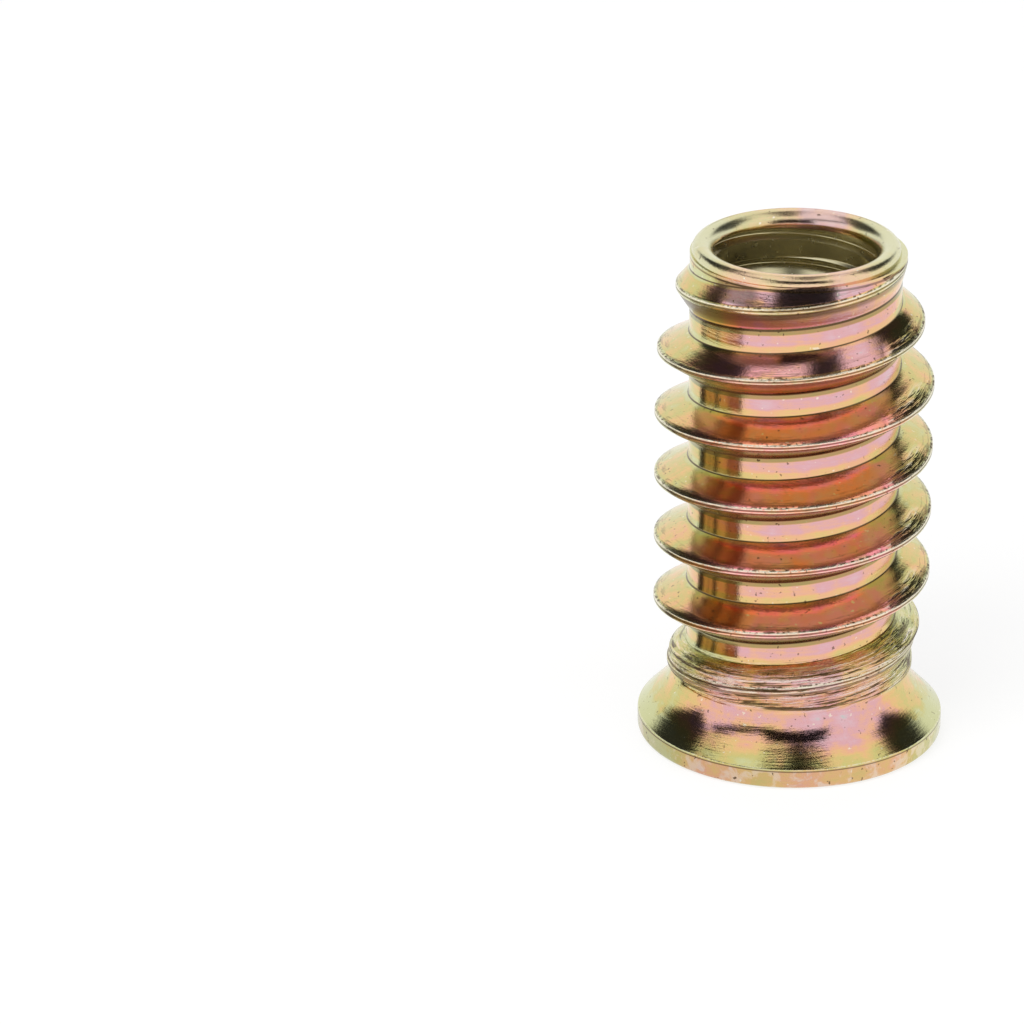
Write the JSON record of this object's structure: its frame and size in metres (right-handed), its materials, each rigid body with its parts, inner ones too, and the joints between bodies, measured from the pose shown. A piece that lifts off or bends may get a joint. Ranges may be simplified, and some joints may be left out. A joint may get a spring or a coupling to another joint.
{
  "type": "threaded insert",
  "caption": "Flanged steel insert for wood, with a coarse outer thread, a machine-threaded through bore and a hexagonal key socket.",
  "frame": {"origin": "centre of the head face, on the axis", "axes": "+Z along the axis from the head face to the pilot end; a flat of the key socket faces +Y"},
  "size_m": [0.0138, 0.0138, 0.0236],
  "materials": {
    "plated_steel": "glossy zinc plating with a yellow iridescent chromate colour"
  },
  "bodies": {
    "root": {"insert": "plated_steel"}
  },
  "joints": []
}
